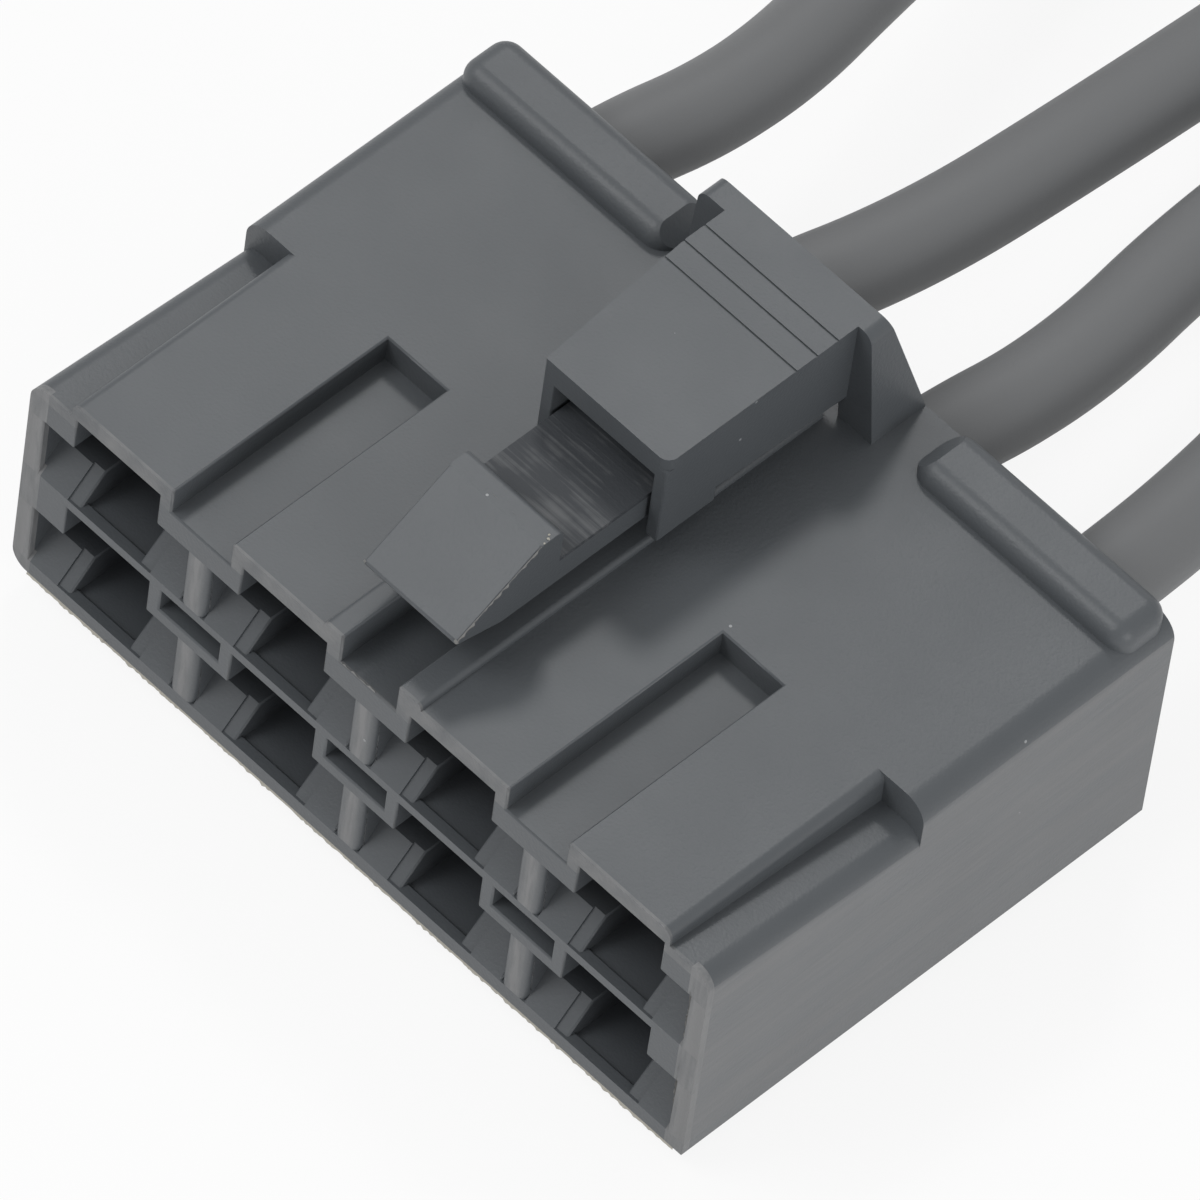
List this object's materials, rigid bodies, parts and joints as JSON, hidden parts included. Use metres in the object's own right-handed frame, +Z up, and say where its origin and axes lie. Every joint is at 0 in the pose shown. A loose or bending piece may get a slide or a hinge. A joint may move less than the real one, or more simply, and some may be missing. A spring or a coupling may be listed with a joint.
{
  "type": "electrical connector",
  "caption": "Black moulded housing for wide blade terminals with a thumb latch on top and short stripped leads from its upper row.",
  "frame": {"origin": "middle of the housing in plan, on the surface that the housing stands on", "axes": "+X across the columns, -Y out of the mating face, +Y towards the leads, +Z up towards the latch"},
  "size_m": [0.038, 0.1269, 0.0194],
  "materials": {
    "housing_black": "moulded, satin",
    "terminal_brass": "plain brass sheet",
    "conductor": "tinned copper strands",
    "wire_jacket": "soft PVC"
  },
  "bodies": {
    "root": {"housing": "housing_black", "terminal_1": "terminal_brass", "terminal_2": "terminal_brass", "terminal_3": "terminal_brass", "terminal_4": "terminal_brass", "core_1": "conductor", "core_2": "conductor", "core_3": "conductor", "core_4": "conductor", "wire_1": "wire_jacket", "wire_2": "wire_jacket", "wire_3": "wire_jacket", "wire_4": "wire_jacket", "bare_end_1": "conductor", "bare_end_2": "conductor", "bare_end_3": "conductor", "bare_end_4": "conductor"}
  },
  "joints": []
}
